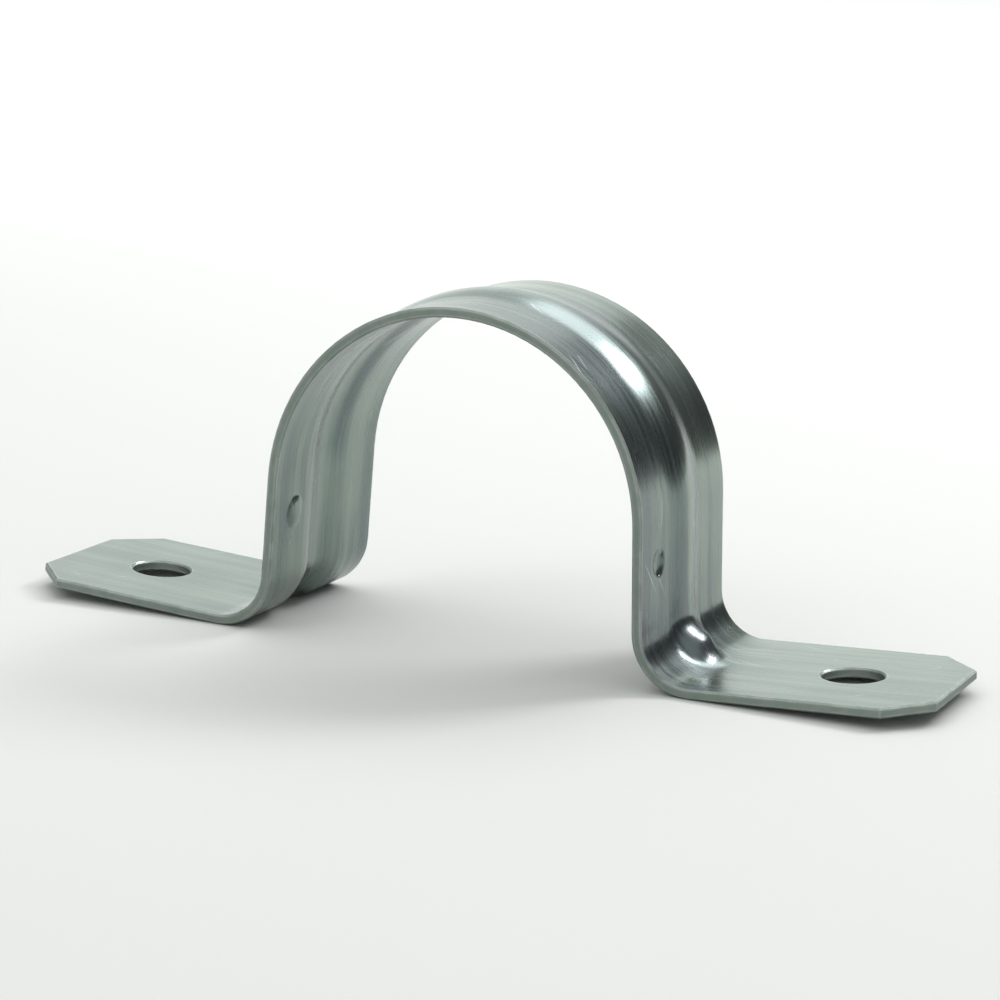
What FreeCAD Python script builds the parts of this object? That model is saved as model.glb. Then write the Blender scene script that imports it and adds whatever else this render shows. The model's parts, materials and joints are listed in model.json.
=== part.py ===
import FreeCAD, Part
import Sketcher
import os
from math import acos, asin, degrees, radians, sin

# Two-hole conduit strap, pressed and folded from one piece of galvanised sheet.
#
# Frame: millimetres, +Z up. X runs from foot to foot and Y along the conduit. The
# strap stands on its two heels at Z = 0, with the middle of its footprint at the origin.
#
# One half is modelled on the +X side and mirrored. Along the strip it is
#   seat arch -> straight leg -> heel bend with its pressed dart -> foot.
# "Top" is the face away from the conduit. At each station of the strip the section
# plane holds Y and the top face's outward normal, and "lie" is the angle of that
# normal above X: 90 at the crown of the arch, leanAngle on the leg, and
# 90 + toeAngle on the foot.

SIZES = {
    # the sheet and the conduit that it holds
    "conduitDiameter": 44.2,   # 1-1/2 trade size thin-wall conduit
    "seatClearance": 0.1,      # radial, between the conduit and the seat
    "sheetThickness": 1.2,
    "strapWidth": 25.4,
    "edgeBreak": 0.2,          # blanked edges, broken by tumbling before they are plated
    # leg, heel and foot
    "leanAngle": 2.5,          # each leg leans outwards before the strap is fixed
    "legLength": 11.7,
    "bendRadius": 5.6,         # on the top face
    "footLength": 26.8,
    "toeAngle": 3.3,           # each foot rises towards its tip, and flattens when screwed down
    "cornerAlong": 4.8,
    "cornerAcross": 5.2,
    # screw holes
    "holeDiameter": 7.1,
    "holeFromTip": 12.0,
    # stiffening rib
    "ribWidth": 10.0,
    "ribHeight": 0.7,
    "crownShare": 0.6,         # part of the rib's curve that is crown, the rest is root
    # dart: the rib crosses the heel as a ramp and runs out on the foot
    "dartRise": 1.8,           # over the top face, half way round the bend
    "dartTipHeight": 0.2,      # left at the end of the bend
    "dartTipWidth": 4.5,
    "dartTaper": 5.0,          # how late the dart narrows: the power of the share of the bend passed
    "dartRunout": 1.3,         # how far the dart reaches along the foot
    "fadeWidth": 0.9,          # share of the tip's width left half way along the runout
    "fadeHeight": 0.3,         # share of its height left there
    "endWidth": 0.8,           # share of its width at the end, where it has no height
    "dartRunup": 2.0,          # where the heel's own surface starts, above the bend
    # snap-in dimples that hold the conduit while the screws are driven
    "dimpleDiameter": 4.0,
    "dimpleDepth": 0.4,
    "dimpleNose": 0.3,         # flat at the dimple's tip, left by the punch
    "dimpleClearance": 0.12,   # radial, between the seated conduit and the dimple's tip
    "dimpleGap": 0.5,          # between the rib's edge and the dimple
    "dimpleRound": 0.5,
}
BEND_STEPS = 8    # even: the middle station is the crown of the dart

doc = FreeCAD.newDocument("ConduitStrap")
sheet = doc.addObject("Spreadsheet::Sheet", "Sizes")
for row, (alias, value) in enumerate(SIZES.items(), start=1):
    sheet.set(f"A{row}", alias)
    sheet.set(f"B{row}", str(value))
    sheet.setAlias(f"B{row}", alias)
doc.recompute()

# Sizes that follow from the driving ones.
derived = doc.addObject("App::VarSet", "Derived")
DERIVED = {
    "seatRadius": "Sizes.conduitDiameter / 2 + Sizes.seatClearance",
    "archRadius": "Derived.seatRadius + Sizes.sheetThickness",
    "turn": "90 + Sizes.toeAngle - Sizes.leanAngle",
    "bendX": "(Derived.archRadius + Sizes.bendRadius) * cos(Sizes.leanAngle * 1 deg)"
             " + Sizes.legLength * sin(Sizes.leanAngle * 1 deg)",
    "bendZ": "Sizes.bendRadius + Sizes.sheetThickness",
    "archZ": "Derived.bendZ + Sizes.legLength * cos(Sizes.leanAngle * 1 deg)"
             " - (Derived.archRadius + Sizes.bendRadius) * sin(Sizes.leanAngle * 1 deg)",
    # how far below the end of the arch the dimple's middle lies, past the conduit's widest line
    "dimpleDrop": "Sizes.dimpleNose + sqrt((Sizes.conduitDiameter / 2 + Sizes.dimpleClearance) ^ 2"
                  " - (Derived.seatRadius - Sizes.dimpleDepth) ^ 2)",
}
for name, formula in DERIVED.items():
    derived.addProperty("App::PropertyFloat", name)
    derived.setExpression(name, formula)
doc.recompute()


def size(name):
    """The value of a driving or derived size."""
    return float(getattr(derived if name in DERIVED else sheet, name))


body = doc.addObject("PartDesign::Body", "Strap")
body.Label = "strap"


def originPlane(role):
    return next(f for f in body.Origin.OriginFeatures if f.Role == role)


def newSketch(name, role, base=None, axis=None, angle=None):
    """A sketch on an origin plane. base: formulas of its offset in the plane's own axes."""
    sketch = body.newObject("Sketcher::SketchObject", name)
    sketch.AttachmentSupport = [(originPlane(role), "")]
    sketch.MapMode = "FlatFace"
    if axis is not None:
        sketch.AttachmentOffset = FreeCAD.Placement(FreeCAD.Vector(), FreeCAD.Rotation(axis, 1.0))
        sketch.setExpression("AttachmentOffset.Rotation.Angle", angle)
    for letter, formula in (base or {}).items():
        sketch.setExpression(f"AttachmentOffset.Base.{letter}", formula)
    return sketch


def drive(sketch, constraint, formula):
    """Adds a dimension and binds it to a formula."""
    index = sketch.addConstraint(constraint)
    sketch.setExpression(f"Constraints[{index}]", formula)
    return index


def atLie(name, lie, shift="0", arch=False):
    """A section sketch: local x is Y, local y is the top face's normal, origin on the top face."""
    if arch:
        x = f"Derived.archRadius * cos(({lie}) * 1 deg)"
        z = f"Derived.archZ + Derived.archRadius * sin(({lie}) * 1 deg)"
    else:
        x = f"Derived.bendX - Sizes.bendRadius * cos(({lie}) * 1 deg) + ({shift}) * sin(({lie}) * 1 deg)"
        z = f"Derived.bendZ - Sizes.bendRadius * sin(({lie}) * 1 deg) - ({shift}) * cos(({lie}) * 1 deg)"
    return newSketch(name, "YZ_Plane", {"y": z, "z": x}, FreeCAD.Vector(1, 0, 0), f"90 - ({lie})")


def line(x1, y1, x2, y2):
    return Part.LineSegment(FreeCAD.Vector(x1, y1, 0), FreeCAD.Vector(x2, y2, 0))


def arc(x, y, r, start, end):
    circle = Part.Circle(FreeCAD.Vector(x, y, 0), FreeCAD.Vector(0, 0, 1), r)
    return Part.ArcOfCircle(circle, radians(start), radians(end))


def ribbedSection(sketch, width, height):
    """Closed section of the sheet with its rib. width and height: a formula and its value, each."""
    (widthFormula, w), (heightFormula, rise) = width, height
    half, t, share = size("strapWidth") / 2, size("sheetThickness"), size("crownShare")
    total = ((w / 2) ** 2 + rise ** 2) / (2 * rise)
    crown, root = share * total, (1 - share) * total
    flank = degrees(asin(w / 2 / total))
    top = rise - crown
    outline = [
        line(-half, 0, -w / 2, 0),
        arc(-w / 2, root, root, 270, 270 + flank),
        arc(0, top, crown, 90 - flank, 90 + flank),
        arc(w / 2, root, root, 270 - flank, 270),
        line(w / 2, 0, half, 0),
        line(half, 0, half, -t),
        line(half, -t, w / 2, -t),
        arc(w / 2, root, root + t, 270 - flank, 270),
        arc(0, top, crown - t, 90 - flank, 90 + flank),
        arc(-w / 2, root, root + t, 270, 270 + flank),
        line(-w / 2, -t, -half, -t),
        line(-half, -t, -half, 0),
    ]
    for edge in outline:
        sketch.addGeometry(edge, False)
    start, end, centre = 1, 2, 3
    for a, pointA, b, pointB in (
        (0, end, 1, start), (1, end, 2, end), (2, start, 3, start), (3, end, 4, start),
        (6, end, 7, end), (7, start, 8, start), (8, end, 9, end), (9, start, 10, start),
    ):
        sketch.addConstraint(Sketcher.Constraint("Tangent", a, pointA, b, pointB))
    for a, b in ((4, 5), (5, 6), (10, 11), (11, 0)):
        sketch.addConstraint(Sketcher.Constraint("Coincident", a, end, b, start))
    for edge in (0, 4, 6, 10):
        sketch.addConstraint(Sketcher.Constraint("Horizontal", edge))
    for edge in (5, 11):
        sketch.addConstraint(Sketcher.Constraint("Vertical", edge))
    for a, b in ((1, 9), (2, 8), (3, 7)):
        sketch.addConstraint(Sketcher.Constraint("Coincident", a, centre, b, centre))
    sketch.addConstraint(Sketcher.Constraint("PointOnObject", 0, start, -1))
    sketch.addConstraint(Sketcher.Constraint("PointOnObject", 4, end, -1))
    sketch.addConstraint(Sketcher.Constraint("PointOnObject", 2, centre, -2))
    drive(sketch, Sketcher.Constraint("DistanceX", 0, start, -1, 1, half), "Sizes.strapWidth / 2")
    drive(sketch, Sketcher.Constraint("DistanceX", -1, 1, 4, end, half), "Sizes.strapWidth / 2")
    drive(sketch, Sketcher.Constraint("DistanceY", 5, end, 5, start, t), "Sizes.sheetThickness")
    drive(sketch, Sketcher.Constraint("DistanceX", 1, centre, -1, 1, w / 2), f"({widthFormula}) / 2")
    drive(sketch, Sketcher.Constraint("DistanceX", -1, 1, 3, centre, w / 2), f"({widthFormula}) / 2")
    radius = f"((({widthFormula}) / 2) ^ 2 + ({heightFormula}) ^ 2) / (2 * ({heightFormula}))"
    drive(sketch, Sketcher.Constraint("Radius", 2, crown), f"Sizes.crownShare * {radius}")
    drive(sketch, Sketcher.Constraint("Radius", 3, root), f"(1 - Sizes.crownShare) * {radius}")


def flatSection(sketch, width):
    """The same closed outline with no rise, where the dart has run out."""
    (widthFormula, w) = width
    half, t, share = size("strapWidth") / 2, size("sheetThickness"), size("crownShare")
    across = [half, w / 2, share * w / 2]
    across = [-x for x in across] + across[::-1]
    points = [(x, 0) for x in across] + [(x, -t) for x in reversed(across)]
    for (x1, y1), (x2, y2) in zip(points, points[1:] + points[:1]):
        sketch.addGeometry(line(x1, y1, x2, y2), False)
    last = len(points) - 1
    for edge in range(last + 1):
        sketch.addConstraint(Sketcher.Constraint("Coincident", edge, 2, 0 if edge == last else edge + 1, 1))
        upright = edge in (5, last)
        sketch.addConstraint(Sketcher.Constraint("Vertical" if upright else "Horizontal", edge))
    sketch.addConstraint(Sketcher.Constraint("PointOnObject", 0, 1, -1))
    drive(sketch, Sketcher.Constraint("DistanceY", 5, 2, 5, 1, t), "Sizes.sheetThickness")
    reach = {0: "Sizes.strapWidth / 2", 1: f"({widthFormula}) / 2",
             2: f"Sizes.crownShare * ({widthFormula}) / 2"}
    for k, formula in reach.items():
        value = across[5 - k]
        drive(sketch, Sketcher.Constraint("DistanceX", k, 1, -1, 1, value), formula)
        drive(sketch, Sketcher.Constraint("DistanceX", -1, 1, 5 - k, 1, value), formula)
        if k:
            drive(sketch, Sketcher.Constraint("DistanceX", -1, 1, 6 + k, 1, value), formula)
            drive(sketch, Sketcher.Constraint("DistanceX", 11 - k, 1, -1, 1, value), formula)


def feature(kind, name, **settings):
    made = body.newObject(f"PartDesign::{kind}", name)
    for key, value in settings.items():
        setattr(made, key, value)
    return made


def evaluated(formula):
    """The value of a formula of the sheet, read through a scratch property."""
    derived.setExpression("probe", formula)
    doc.recompute([derived])
    return float(derived.probe)


derived.addProperty("App::PropertyFloat", "probe")
rib = [(f"Sizes.{name}", size(name)) for name in ("ribWidth", "ribHeight")]

# Seat arch: the ribbed section turned about the conduit's axis.
archSection = atLie("ArchSection", "90", arch=True)
ribbedSection(archSection, *rib)
radius, reach = size("archRadius"), size("strapWidth") / 2
conduitAxis = archSection.addGeometry(line(0, -radius, reach, -radius), True)
archSection.addConstraint(Sketcher.Constraint("Horizontal", conduitAxis))
archSection.addConstraint(Sketcher.Constraint("PointOnObject", conduitAxis, 1, -2))
drive(archSection, Sketcher.Constraint("DistanceX", conduitAxis, 1, conduitAxis, 2, reach),
      "Sizes.strapWidth / 2")
drive(archSection, Sketcher.Constraint("DistanceY", conduitAxis, 1, -1, 1, radius), "Derived.archRadius")
arch = feature("Revolution", "Arch", Profile=archSection, ReferenceAxis=(archSection, ["Axis0"]))
arch.setExpression("Angle", "90 - Sizes.leanAngle")

# Leg: the same section run straight down to where the heel starts.
legSection = atLie("LegSection", "Sizes.leanAngle", arch=True)
ribbedSection(legSection, *rib)
leg = feature("Pad", "Leg", Profile=legSection)
leg.setExpression("Length", "Sizes.legLength - Sizes.dartRunup")

# Heel: a loft through section stations round the bend. The rib rises into the dart half
# way round, narrows and runs out on the foot.
lean, toe = "Sizes.leanAngle", "90 + Sizes.toeAngle"
stations = [(lean, "-Sizes.dartRunup", "Sizes.ribWidth", "Sizes.ribHeight"),
            (lean, "-Sizes.dartRunup / 2", "Sizes.ribWidth", "Sizes.ribHeight")]
for step in range(BEND_STEPS + 1):
    passed = step / BEND_STEPS
    lie = f"Sizes.leanAngle + {passed} * Derived.turn"
    width = f"Sizes.ribWidth - (Sizes.ribWidth - Sizes.dartTipWidth) * {passed} ^ Sizes.dartTaper"
    low = "Sizes.ribHeight" if passed < 0.5 else "Sizes.dartTipHeight"
    height = f"{low} + (Sizes.dartRise - {low}) * sin({passed} * 180 deg) ^ 2"
    stations.append((lie, "0", width, height))
stations.append((toe, "Sizes.dartRunout / 2",
                 "Sizes.fadeWidth * Sizes.dartTipWidth", "Sizes.fadeHeight * Sizes.dartTipHeight"))
sections = []
for index, (lie, shift, width, height) in enumerate(stations):
    sections.append(atLie(f"HeelSection{index}", lie, shift))
    ribbedSection(sections[-1], (width, evaluated(width)), (height, evaluated(height)))
sections.append(atLie("HeelEndSection", toe, "Sizes.dartRunout"))
endWidth = "Sizes.endWidth * Sizes.dartTipWidth"
flatSection(sections[-1], (endWidth, evaluated(endWidth)))
doc.recompute()
heel = feature("AdditiveLoft", "Heel", Profile=sections[0], Sections=sections[1:])

# Foot: the plan of the blank, with its two corners cut off, pressed down from the top face.
toeUp = {"x": "Derived.bendX + Sizes.bendRadius * sin(Sizes.toeAngle * 1 deg)",
         "z": "Derived.bendZ - Sizes.bendRadius * cos(Sizes.toeAngle * 1 deg)"}
footPlan = newSketch("FootPlan", "XY_Plane", toeUp, FreeCAD.Vector(0, 1, 0), "-Sizes.toeAngle")
half, long = size("strapWidth") / 2, size("footLength")
along, across = size("cornerAlong"), size("cornerAcross")
start = size("dartRunout")
plan = [(start, -half), (long - along, -half), (long, across - half),
        (long, half - across), (long - along, half), (start, half)]
for (x1, y1), (x2, y2) in zip(plan, plan[1:] + plan[:1]):
    footPlan.addGeometry(line(x1, y1, x2, y2), False)
for edge in range(6):
    footPlan.addConstraint(Sketcher.Constraint("Coincident", edge, 2, (edge + 1) % 6, 1))
for edge in (0, 4):
    footPlan.addConstraint(Sketcher.Constraint("Horizontal", edge))
for edge in (2, 5):
    footPlan.addConstraint(Sketcher.Constraint("Vertical", edge))
drive(footPlan, Sketcher.Constraint("DistanceX", -1, 1, 0, 1, start), "Sizes.dartRunout")
drive(footPlan, Sketcher.Constraint("DistanceX", -1, 1, 2, 1, long), "Sizes.footLength")
drive(footPlan, Sketcher.Constraint("DistanceY", 0, 1, -1, 1, half), "Sizes.strapWidth / 2")
drive(footPlan, Sketcher.Constraint("DistanceY", -1, 1, 4, 2, half), "Sizes.strapWidth / 2")
for edge in (1, 3):
    a, b = (1, 2) if edge == 1 else (2, 1)
    drive(footPlan, Sketcher.Constraint("DistanceX", edge, a, edge, b, along), "Sizes.cornerAlong")
    drive(footPlan, Sketcher.Constraint("DistanceY", edge, 1, edge, 2, across), "Sizes.cornerAcross")
foot = feature("Pad", "Foot", Profile=footPlan, Reversed=True)
foot.setExpression("Length", "Sizes.sheetThickness")

# Screw hole: upright, so that it is square to the wall.
holeX = "Derived.bendX + Sizes.bendRadius * sin(Sizes.toeAngle * 1 deg)" \
        " + (Sizes.footLength - Sizes.holeFromTip) * cos(Sizes.toeAngle * 1 deg)"
holePlan = newSketch("HolePlan", "XY_Plane")
rim = holePlan.addGeometry(Part.Circle(FreeCAD.Vector(evaluated(holeX), 0, 0),
                                       FreeCAD.Vector(0, 0, 1), size("holeDiameter") / 2), False)
holePlan.addConstraint(Sketcher.Constraint("PointOnObject", rim, 3, -1))
drive(holePlan, Sketcher.Constraint("DistanceX", -1, 1, rim, 3, evaluated(holeX)), holeX)
drive(holePlan, Sketcher.Constraint("Diameter", rim, size("holeDiameter")), "Sizes.holeDiameter")
hole = feature("Pocket", "ScrewHole", Profile=holePlan, Type="ThroughAll", Reversed=True)


dimpleMiddle = "-(Sizes.ribWidth + Sizes.dimpleDiameter) / 2 - Sizes.dimpleGap"


def domeSection(sketch, radiusFormula, apexFormula, mouthFormula, lidFormula):
    """Half of a dome about an upright line: apex below, then its arc, rim wall and flat lid."""
    r, apex, mouth, lid = (evaluated(f) for f in (radiusFormula, apexFormula, mouthFormula, lidFormula))
    x, nose = evaluated(dimpleMiddle), size("dimpleNose")
    centre = apex + r
    sweep = degrees(acos((centre - mouth) / r))
    rimX = x + nose + r * sin(radians(sweep))
    for edge in (arc(x + nose, centre, r, 270, 270 + sweep), line(rimX, mouth, rimX, lid),
                 line(rimX, lid, x, lid), line(x, lid, x, apex), line(x, apex, x + nose, apex)):
        sketch.addGeometry(edge, False)
    start, end = 1, 2
    for edge in (0, 1, 2, 3):
        sketch.addConstraint(Sketcher.Constraint("Coincident", edge, end, edge + 1, start))
    for kind, edge in (("Vertical", 1), ("Horizontal", 2), ("Vertical", 3), ("Horizontal", 4)):
        sketch.addConstraint(Sketcher.Constraint(kind, edge))
    sketch.addConstraint(Sketcher.Constraint("Tangent", 4, end, 0, start))
    drive(sketch, Sketcher.Constraint("DistanceX", -1, 1, 3, end, x), dimpleMiddle)
    drive(sketch, Sketcher.Constraint("DistanceX", 4, start, 4, end, nose), "Sizes.dimpleNose")
    drive(sketch, Sketcher.Constraint("DistanceY", -1, 1, 3, end, apex), apexFormula)
    drive(sketch, Sketcher.Constraint("DistanceY", 3, end, 2, end, lid - apex),
          f"({lidFormula}) - ({apexFormula})")
    drive(sketch, Sketcher.Constraint("DistanceY", 3, end, 1, start, mouth - apex),
          f"({mouthFormula}) - ({apexFormula})")
    drive(sketch, Sketcher.Constraint("Radius", 0, r), radiusFormula)


# Dimple: a dome pressed in through the leg. Its inner face bulges towards the conduit and its
# outer face is the same dome one sheet further out, so the sheet keeps its thickness.
dimpleAt = (lean, "Derived.dimpleDrop - Sizes.legLength")
bulge = "((Sizes.dimpleDiameter / 2 - Sizes.dimpleNose) ^ 2 + Sizes.dimpleDepth ^ 2)" \
        " / (2 * Sizes.dimpleDepth)"
bulgeSection = atLie("BulgeSection", *dimpleAt)
domeSection(bulgeSection, bulge, "-Sizes.sheetThickness - Sizes.dimpleDepth",
            "-Sizes.sheetThickness", "-Sizes.sheetThickness / 2")
bulgeDome = feature("Revolution", "DimpleBulge", Profile=bulgeSection, Angle=360)
bulgeDome.ReferenceAxis = (bulgeSection, ["Edge4"])
dentSection = atLie("DentSection", *dimpleAt)
domeSection(dentSection, f"{bulge} - Sizes.sheetThickness", "-Sizes.dimpleDepth", "0",
            "Sizes.sheetThickness / 2")
dentDome = feature("Groove", "DimpleDent", Profile=dentSection, Angle=360)
dentDome.ReferenceAxis = (dentSection, ["Edge4"])
doc.recompute()

# The other half.
whole = feature("Mirrored", "OtherHalf", MirrorPlane=(originPlane("YZ_Plane"), [""]))
whole.TransformMode = "Whole shape"
body.Tip = whole
doc.recompute()


def isCutFace(face):
    """True where the blanking die cut the sheet: the strip's sides, the feet's ends and the holes."""
    low, high, left, right = face.ParameterRange
    normal = face.normalAt((low + high) / 2, (left + right) / 2)
    if isinstance(face.Surface, Part.Cylinder):
        return abs(face.Surface.Radius - size("holeDiameter") / 2) < 1e-6
    atEnd = abs(face.CenterOfMass.x) > size("bendX") + size("footLength") / 2
    return abs(normal.y) > 0.3 and abs(normal.z) < 0.5 or atEnd and abs(normal.z) < 0.5


def borderEdges(shape, chosen):
    """Names of the edges between a chosen face and any other face."""
    inside = [face for face in shape.Faces if chosen(face)]
    names = []
    for number, edge in enumerate(shape.Edges, start=1):
        sharing = [face for face in shape.Faces if any(edge.isSame(other) for other in face.Edges)]
        if len(sharing) == 2 and sum(any(face.isSame(one) for one in inside) for face in sharing) == 1:
            names.append(f"Edge{number}")
    return names


dimpleY = evaluated(dimpleMiddle)


def isDome(face):
    """True for the faces that turn about a dimple's middle."""
    return abs(face.CenterOfMass.y - dimpleY) < 0.001


softDimples = feature("Fillet", "SoftDimples", Base=(whole, borderEdges(whole.Shape, isDome)))
softDimples.setExpression("Radius", "Sizes.dimpleRound")
doc.recompute()
brokenEdges = feature("Chamfer", "BrokenEdges",
                      Base=(softDimples, borderEdges(softDimples.Shape, isCutFace)))
brokenEdges.setExpression("Size", "Sizes.edgeBreak")
body.Tip = brokenEdges
doc.recompute()

# Every object has to be sound before the piece is written.
for item in doc.Objects:
    if {"Invalid", "Error"} & set(item.State):
        raise RuntimeError(f"{item.Name} did not build: {item.State}")
for before, after, grows in ((foot, hole, False), (hole, bulgeDome, True), (bulgeDome, dentDome, False)):
    if (after.Shape.Volume > before.Shape.Volume) is not grows:
        raise RuntimeError(f"{after.Name} changed nothing")
if body.Shape.isNull() or not body.Shape.isValid() or len(body.Shape.Solids) != 1:
    raise RuntimeError("the strap is not one sound solid")

os.makedirs("parts", exist_ok=True)
body.Shape.exportStep(f"parts/{body.Label}.step")
print(f"{body.Label}: {body.Shape.Volume:.1f} cubic mm, holes {2 * evaluated(holeX):.3f} mm apart,"
      f" conduit axis {size('archZ'):.3f} mm up")
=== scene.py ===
import json
from math import cos, radians, sin

import bpy
from mathutils import Matrix, Vector


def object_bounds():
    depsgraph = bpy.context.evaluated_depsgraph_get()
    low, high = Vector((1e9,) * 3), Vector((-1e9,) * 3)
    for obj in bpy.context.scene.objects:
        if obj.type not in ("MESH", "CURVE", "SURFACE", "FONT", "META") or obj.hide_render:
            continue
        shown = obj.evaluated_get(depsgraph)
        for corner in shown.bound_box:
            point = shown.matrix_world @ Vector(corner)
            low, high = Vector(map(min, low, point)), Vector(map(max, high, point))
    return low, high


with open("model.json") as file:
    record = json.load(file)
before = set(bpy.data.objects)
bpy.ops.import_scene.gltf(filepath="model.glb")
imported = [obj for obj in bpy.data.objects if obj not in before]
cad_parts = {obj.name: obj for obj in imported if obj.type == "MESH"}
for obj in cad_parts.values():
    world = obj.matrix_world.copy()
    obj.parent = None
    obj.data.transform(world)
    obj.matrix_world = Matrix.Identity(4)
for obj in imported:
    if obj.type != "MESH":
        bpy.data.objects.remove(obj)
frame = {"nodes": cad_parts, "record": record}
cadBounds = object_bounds()
bpy.ops.object.select_all(action="DESELECT")
scene = bpy.context.scene
strap = frame["nodes"]["strap"]
print("frame loaded")

view = {
    "azimuth": 24.145,                # degrees from straight in front, towards the right foot
    "elevation": 12.467,
    "roll": 2.314,
    "distance": 0.3686,               # metres from the aim point
    "aim": (0.00052, 0.0, 0.01649),
    "focal": 3.1728,                  # focal length over the frame's width
    "sensor": 36.0,
    "clip": (0.01, 30.0),
}


# The direction from the middle of the stage to something seen at these angles.
def bearing(azimuth, elevation):
    az, el = radians(azimuth), radians(elevation)
    return Vector((sin(az) * cos(el), -cos(az) * cos(el), sin(el)))


def placeCamera(v):
    back = bearing(v["azimuth"], v["elevation"])
    right = Vector((cos(radians(v["azimuth"])), sin(radians(v["azimuth"])), 0.0))
    up = back.cross(right)
    roll = radians(v["roll"])
    turnedRight = right * cos(roll) + up * sin(roll)
    turnedUp = up * cos(roll) - right * sin(roll)
    data = bpy.data.cameras.new("view")
    data.sensor_width = v["sensor"]
    data.lens = v["focal"] * v["sensor"]
    data.clip_start, data.clip_end = v["clip"]
    camera = bpy.data.objects.new("view", data)
    scene.collection.objects.link(camera)
    turn = Matrix((turnedRight, turnedUp, back)).transposed().to_4x4()
    camera.matrix_world = Matrix.Translation(Vector(v["aim"]) + back * v["distance"]) @ turn
    scene.camera = camera


placeCamera(view)
scene.view_settings.view_transform = "Standard"
print("camera placed")


# A socket takes a value, or a link where the value is another socket.
def setSocket(tree, socket, value):
    if isinstance(value, bpy.types.NodeSocket):
        tree.links.new(value, socket)
    else:
        socket.default_value = value


# Sockets are given by name, or as i0, i1 and so on where the node has no useful names.
def addNode(tree, kind, settings=None, **sockets):
    node = tree.nodes.new("ShaderNode" + kind)
    for name, value in (settings or {}).items():
        setattr(node, name, value)
    for name, value in sockets.items():
        key = int(name[1:]) if name[1:].isdigit() else name
        setSocket(tree, node.inputs[key], value)
    return node


def maths(tree, operation, a, b=0.0):
    return addNode(tree, "Math", {"operation": operation}, i0=a, i1=b).outputs[0]


def vectorMaths(tree, operation, a, b, output="Vector"):
    return addNode(tree, "VectorMath", {"operation": operation}, i0=a, i1=b).outputs[output]


def remap(tree, value, low, high, toLow=0.0, toHigh=1.0):
    smooth = {"interpolation_type": "SMOOTHSTEP"}
    return addNode(tree, "MapRange", smooth, i0=value, i1=low, i2=high, i3=toLow, i4=toHigh).outputs[0]


def mixColours(tree, share, a, b):
    return addNode(tree, "Mix", {"data_type": "RGBA"}, i0=share, i6=a, i7=b).outputs[2]


def mixValues(tree, share, a, b):
    return addNode(tree, "Mix", {"data_type": "FLOAT"}, i0=share, i2=a, i3=b).outputs[0]


def noise(tree, vector, detail, roughness=0.5, scale=1.0):
    texture = addNode(tree, "TexNoise", Vector=vector, Scale=scale, Detail=detail, Roughness=roughness)
    return texture.outputs["Fac"]


# Coordinates squeezed across the strip, so that a pattern runs on along it.
def alongStrip(tree, vector, along, across):
    squeeze = addNode(tree, "CombineXYZ", i0=along, i1=across, i2=along).outputs[0]
    return vectorMaths(tree, "MULTIPLY", vector, squeeze)


def newGroup(name, inputs, outputs):
    group = bpy.data.node_groups.new(name, "ShaderNodeTree")
    for socketName, kind, default in inputs:
        socket = group.interface.new_socket(socketName, in_out="INPUT", socket_type="NodeSocket" + kind)
        socket.default_value = default
    for socketName, kind in outputs:
        group.interface.new_socket(socketName, in_out="OUTPUT", socket_type="NodeSocket" + kind)
    given = group.nodes.new("NodeGroupInput").outputs
    return group, given, group.nodes.new("NodeGroupOutput").inputs


def useGroup(tree, group, **sockets):
    node = tree.nodes.new("ShaderNodeGroup")
    node.node_tree = group
    for name, value in sockets.items():
        setSocket(tree, node.inputs[name], value)
    return node.outputs


nowhere = (0.0, 0.0, 0.0)
grey = (0.5, 0.5, 0.5, 1.0)
mm = 0.001

tinting = {
    "strawTo": (0.30, 0.44),              # levels over which straw fades into the plain plating
    "coolFrom": (0.42, 0.56),             # and the plain plating into blue, then blue into violet
    "violetFrom": (0.54, 0.66),
    "detail": 4.0,
    "roughness": 0.6,
    "cloudDetail": 3.0,
}


# Bands of tint with the length of the strip, as the rinse dries on fresh plating.
def makeTintBands(t):
    group, given, out = newGroup(
        "tintBands",
        (("Vector", "Vector", nowhere), ("Along", "Float", 14.0), ("Across", "Float", 330.0),
         ("Cloud", "Float", 60.0), ("Cloudiness", "Float", 0.4), ("Amount", "Float", 0.5),
         ("Plain", "Color", grey), ("Cool", "Color", grey), ("Violet", "Color", grey),
         ("Straw", "Color", grey)),
        (("Color", "Color"), ("Mask", "Float")))
    stretched = alongStrip(group, given["Vector"], given["Along"], given["Across"])
    bands = noise(group, stretched, t["detail"], t["roughness"])
    cloud = noise(group, given["Vector"], t["cloudDetail"], scale=given["Cloud"])
    level = mixValues(group, given["Cloudiness"], bands, cloud)
    colour = mixColours(group, remap(group, level, *t["strawTo"]), given["Straw"], given["Plain"])
    colour = mixColours(group, remap(group, level, *t["coolFrom"]), colour, given["Cool"])
    colour = mixColours(group, remap(group, level, *t["violetFrom"]), colour, given["Violet"])
    setSocket(group, out["Color"], mixColours(group, given["Amount"], given["Plain"], colour))
    setSocket(group, out["Mask"], level)
    return group


rolling = {
    "detail": 3.0,
    "roughness": 0.6,
}


# Fine lines left by the rolling mill, with the length of the strip.
def makeRollingGrain(r):
    group, given, out = newGroup(
        "rollingGrain",
        (("Vector", "Vector", nowhere), ("Along", "Float", 60.0), ("Across", "Float", 2200.0)),
        (("Value", "Float"),))
    stretched = alongStrip(group, given["Vector"], given["Along"], given["Across"])
    setSocket(group, out["Value"], noise(group, stretched, r["detail"], r["roughness"]))
    return group


scratching = {
    "turns": (0.5, -0.8),                 # radians off the strip's length, for each of the two ways
    "width": (0.04, 0.16),                # of a scratch's cell: full, and none
    "patchDetail": 1.0,
}


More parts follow.
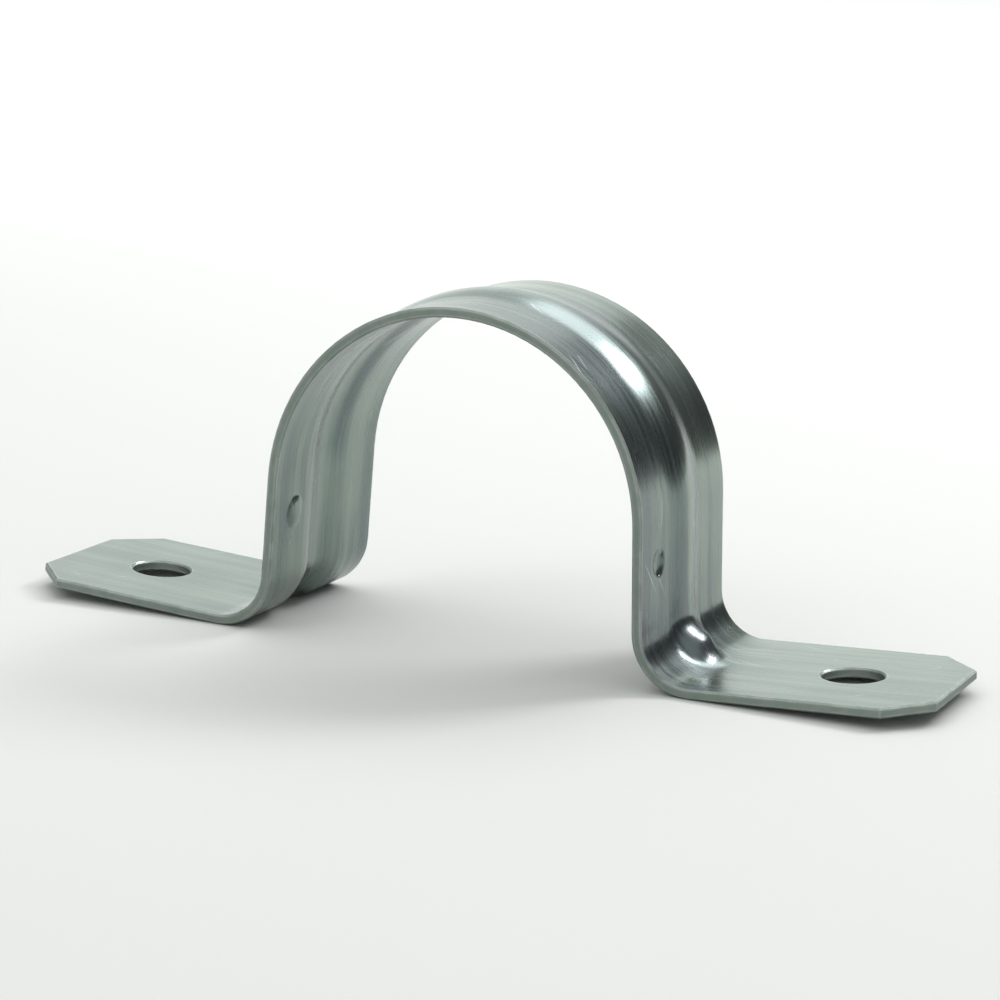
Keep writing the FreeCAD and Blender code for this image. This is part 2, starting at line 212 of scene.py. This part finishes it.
# Sparse short scratches from tumbling in a bin: long thin cells, turned two ways.
def makeBinScratches(b):
    group, given, out = newGroup(
        "binScratches",
        (("Vector", "Vector", nowhere), ("Along", "Float", 45.0), ("Across", "Float", 1300.0),
         ("Patches", "Float", 120.0), ("Rarity", "Float", 0.6)),
        (("Mask", "Float"),))
    ways = []
    for turn in b["turns"]:
        turned = addNode(group, "Mapping", i0=given["Vector"])    # tilted too, out of every face's plane
        turned.inputs["Rotation"].default_value = (turn / 2, turn / 3, turn)
        stretched = alongStrip(group, turned.outputs[0], given["Along"], given["Across"])
        dashes = addNode(group, "TexVoronoi", Vector=stretched, Scale=1.0).outputs["Distance"]
        patches = noise(group, turned.outputs[0], b["patchDetail"], scale=given["Patches"])
        gate = maths(group, "GREATER_THAN", patches, given["Rarity"])
        ways.append(maths(group, "MULTIPLY", remap(group, dashes, *b["width"], 1.0, 0.0), gate))
    setSocket(group, out["Mask"], maths(group, "MAXIMUM", ways[0], ways[1]))
    return group


rubbing = {
    "samples": 4,
    "turned": (0.999, 0.93),              # cosines of the edge's turn where the rub starts and is full
    "patches": (0.4, 0.6),
    "patchDetail": 2.0,
}


# Convex edges, where the plating is rubbed bright, in patches.
def makeEdgeRub(r):
    group, given, out = newGroup(
        "edgeRub",
        (("Vector", "Vector", nowhere), ("Width", "Float", 0.0004), ("Patches", "Float", 420.0),
         ("Least", "Float", 0.5)),
        (("Mask", "Float"),))
    softened = addNode(group, "Bevel", {"samples": r["samples"]}, Radius=given["Width"]).outputs[0]
    normal = addNode(group, "NewGeometry").outputs["Normal"]
    edge = remap(group, vectorMaths(group, "DOT_PRODUCT", softened, normal, "Value"), *r["turned"])
    patches = noise(group, given["Vector"], r["patchDetail"], scale=given["Patches"])
    patches = remap(group, patches, *r["patches"], given["Least"])
    setSocket(group, out["Mask"], maths(group, "MULTIPLY", edge, patches))
    return group


tintBands = makeTintBands(tinting)
rollingGrain = makeRollingGrain(rolling)
binScratches = makeBinScratches(scratching)
edgeRub = makeEdgeRub(rubbing)
print("shader groups made")

plating = {
    "plain": (0.215, 0.268, 0.234, 1.0),
    "cool": (0.115, 0.145, 0.157, 1.0),
    "violet": (0.132, 0.129, 0.158, 1.0),
    "straw": (0.32, 0.345, 0.285, 1.0),
    "tintWithPaintedShade": 0.65,                         # share of the tinted bands on the arch, legs and folds, set high so that their darker tints are partly painted shade there
    "footTint": 0.3,                      # and on the feet, set low so that the feet stay paler, free of that painted shade
    "footFrom": 0.029,                    # metres from the middle
    "footTo": 0.036,
    "bandsAlong": 14.0,                   # bands to a metre, along the strip and across it
    "bandsAcross": 330.0,
    "bright": (0.58, 0.61, 0.59, 1.0),    # rubbed edges and scratches
    "scratchShow": 0.45,
    "rubShow": 0.6,
    "mottle": (0.36, 0.62),               # mean of grain and bands, over which the roughness changes
    "roughness": (0.20, 0.30),
    "scratchRoughness": 0.08,
    "bumpStrength": 0.35,
    "bumpDistance": 0.00004,
    "grainRelief": 0.15,
    "scratchRelief": 0.4,
}

mounts = {mount["name"]: mount for mount in frame["record"]["mounts"]}
screwHoles = mounts["screw_holes"]["dims"]
footEnd = 6.6 * mm                        # length of a foot's end that holds its cut corners, with room
holeBreak = 0.15 * mm                     # of the break round a hole that counts as its wall
blanked = {
    "colour": (0.26, 0.28, 0.265, 1.0),
    "show": 0.85,
    "roughness": 0.5,
    "tear": 700.0,                        # grains to a metre in the torn metal
    "tearDetail": 2.0,
    "tearShow": (0.35, 0.65),
    "tearRelief": 0.8,
    "sideFacing": 0.69,                   # least share of Y in a side's normal: a rib's flank has less
    "endFacing": 0.8,                     # most share of Z in the normal of a foot's end or a hole's wall
    "endX": cadBounds[1][0] - footEnd,
    "holeX": screwHoles["spacing_x_mm"] * mm / 2,
    "holeReach": screwHoles["hole_r_mm"] * mm + holeBreak,
}


# 1 on the faces that the blanking die cut: the long sides, the ends of the feet and the holes.
def blankedMask(tree, place, normal, b):
    at = addNode(tree, "SeparateXYZ", Vector=place).outputs
    facing = addNode(tree, "SeparateXYZ", Vector=normal).outputs
    fromMiddle = maths(tree, "ABSOLUTE", at[0])
    side = maths(tree, "GREATER_THAN", maths(tree, "ABSOLUTE", facing[1]), b["sideFacing"])
    upright = maths(tree, "LESS_THAN", maths(tree, "ABSOLUTE", facing[2]), b["endFacing"])
    atEnd = maths(tree, "GREATER_THAN", fromMiddle, b["endX"])
    along = maths(tree, "SUBTRACT", fromMiddle, b["holeX"])
    offset = addNode(tree, "CombineXYZ", i0=along, i1=at[1]).outputs[0]
    fromHole = vectorMaths(tree, "LENGTH", offset, nowhere, "Value")
    inHole = maths(tree, "LESS_THAN", fromHole, b["holeReach"])
    ends = maths(tree, "MULTIPLY", upright, maths(tree, "MAXIMUM", atEnd, inHole))
    return maths(tree, "MAXIMUM", side, ends)


def zincMaterial(p, b):
    material = bpy.data.materials.new("zincPlating")
    material.use_nodes = True
    tree = material.node_tree
    shader = tree.nodes["Principled BSDF"]
    coords = addNode(tree, "TexCoord").outputs
    place = coords["Object"]
    # The feet take less of the darker tints than the arch and legs. The bands are the plating's own
    # colour, but the difference in share is painted shade on the arch and legs.
    outwards = maths(tree, "ABSOLUTE", addNode(tree, "SeparateXYZ", Vector=place).outputs["X"])
    feetFreeOfPaintedShade = remap(tree, outwards, p["footFrom"], p["footTo"])
    bands = useGroup(tree, tintBands, Vector=place, Along=p["bandsAlong"], Across=p["bandsAcross"],
                     Amount=mixValues(tree, feetFreeOfPaintedShade, p["tintWithPaintedShade"], p["footTint"]),
                     Plain=p["plain"], Cool=p["cool"], Violet=p["violet"], Straw=p["straw"])
    grain = useGroup(tree, rollingGrain, Vector=place)["Value"]
    scratch = useGroup(tree, binScratches, Vector=place)["Mask"]
    rub = useGroup(tree, edgeRub, Vector=place)["Mask"]
    cut = blankedMask(tree, place, coords["Normal"], b)
    tear = noise(tree, place, b["tearDetail"], scale=b["tear"])

    scratched = maths(tree, "MULTIPLY", scratch, p["scratchShow"])
    colour = mixColours(tree, scratched, bands["Color"], p["bright"])
    torn = mixColours(tree, remap(tree, tear, *b["tearShow"]), b["colour"], p["plain"])
    colour = mixColours(tree, maths(tree, "MULTIPLY", cut, b["show"]), colour, torn)
    colour = mixColours(tree, maths(tree, "MULTIPLY", rub, p["rubShow"]), colour, p["bright"])

    mottle = maths(tree, "MULTIPLY", maths(tree, "ADD", grain, bands["Mask"]), 0.5)
    rough = remap(tree, mottle, *p["mottle"], *p["roughness"])
    rough = maths(tree, "ADD", rough, maths(tree, "MULTIPLY", scratch, p["scratchRoughness"]))
    rough = mixValues(tree, cut, rough, b["roughness"])

    relief = maths(tree, "MULTIPLY", grain, p["grainRelief"])
    relief = maths(tree, "SUBTRACT", relief, maths(tree, "MULTIPLY", scratch, p["scratchRelief"]))
    torn = maths(tree, "MULTIPLY", maths(tree, "MULTIPLY", tear, cut), b["tearRelief"])
    relief = maths(tree, "ADD", relief, torn)
    bump = addNode(tree, "Bump", Height=relief, Strength=p["bumpStrength"], Distance=p["bumpDistance"])

    shader.inputs["Metallic"].default_value = 1.0
    setSocket(tree, shader.inputs["Base Color"], colour)
    setSocket(tree, shader.inputs["Roughness"], rough)
    setSocket(tree, shader.inputs["Normal"], bump.outputs[0])
    return material


zinc = zincMaterial(plating, blanked)
for slot in strap.material_slots:
    slot.material = zinc
print("plating made")

floor = {
    "size": 8.0,
    "colour": (0.65, 0.65, 0.645, 1.0),
    "roughness": 0.9,
    "specular": 0.1,
    "glow": 0.55,                         # of the far floor, so that it is white towards the horizon
    "glowFrom": 0.18,                     # metres from the middle
    "glowTo": 1.1,
}


def floorMaterial(f):
    material = bpy.data.materials.new("paleFloor")
    material.use_nodes = True
    tree = material.node_tree
    shader = tree.nodes["Principled BSDF"]
    shader.inputs["Base Color"].default_value = f["colour"]
    shader.inputs["Roughness"].default_value = f["roughness"]
    shader.inputs["Specular IOR Level"].default_value = f["specular"]
    shader.inputs["Emission Color"].default_value = (1.0, 1.0, 1.0, 1.0)
    away = vectorMaths(tree, "LENGTH", addNode(tree, "TexCoord").outputs["Object"], nowhere, "Value")
    rays = addNode(tree, "LightPath").outputs
    mirrored = maths(tree, "MAXIMUM", rays["Is Glossy Ray"], rays["Is Transmission Ray"])
    seen = maths(tree, "MAXIMUM", rays["Is Camera Ray"], mirrored)
    glow = remap(tree, away, f["glowFrom"], f["glowTo"], 0.0, f["glow"])
    setSocket(tree, shader.inputs["Emission Strength"], maths(tree, "MULTIPLY", glow, seen))
    return material


bpy.ops.mesh.primitive_plane_add(size=floor["size"])
stage = bpy.context.object
stage.name = "floor"
stage.data.materials.append(floorMaterial(floor))
print("floor laid")

# name: azimuth, elevation, distance, size, power
lamps = {
    "softbox": (190.0, 68.0, 0.9, 0.9, 3.6),
    "back": (180.0, 48.0, 0.9, 0.4, 1.3),
    "backRight": (148.0, 40.0, 0.9, 0.26, 3.4),
    "backLeft": (206.0, 16.0, 1.2, 0.9, 1.5),
    "front": (-32.0, 48.0, 1.1, 0.5, 1.2),
}


def addLamp(name, azimuth, elevation, distance, size, power):
    data = bpy.data.lights.new(name, "AREA")
    data.shape = "SQUARE"
    data.size = size
    data.energy = power
    lamp = bpy.data.objects.new(name, data)
    scene.collection.objects.link(lamp)
    lamp.location = bearing(azimuth, elevation) * distance
    lamp.rotation_euler = lamp.location.to_track_quat("Z", "Y").to_euler()


for name, settings in lamps.items():
    addLamp(name, *settings)

studio = {
    "pale": (0.655, 0.695, 0.665, 1.0),
    "dark": (0.08, 0.08, 0.085, 1.0),
    "darkAt": (0.60, 0.75, 0.28),         # behind and to the right, where the studio is unlit
    "darkEdge": (0.60, 0.93),             # cosines of the angles where the dark starts and is full
}


def makeWorld(s):
    world = bpy.data.worlds.new("studio")
    scene.world = world
    world.use_nodes = True
    tree = world.node_tree
    facing = addNode(tree, "TexCoord").outputs["Generated"]
    middle = tuple(Vector(s["darkAt"]).normalized())
    share = remap(tree, vectorMaths(tree, "DOT_PRODUCT", facing, middle, "Value"), *s["darkEdge"])
    backdrop = tree.nodes["Background"]
    setSocket(tree, backdrop.inputs["Color"], mixColours(tree, share, s["pale"], s["dark"]))


makeWorld(studio)
print("studio lit")
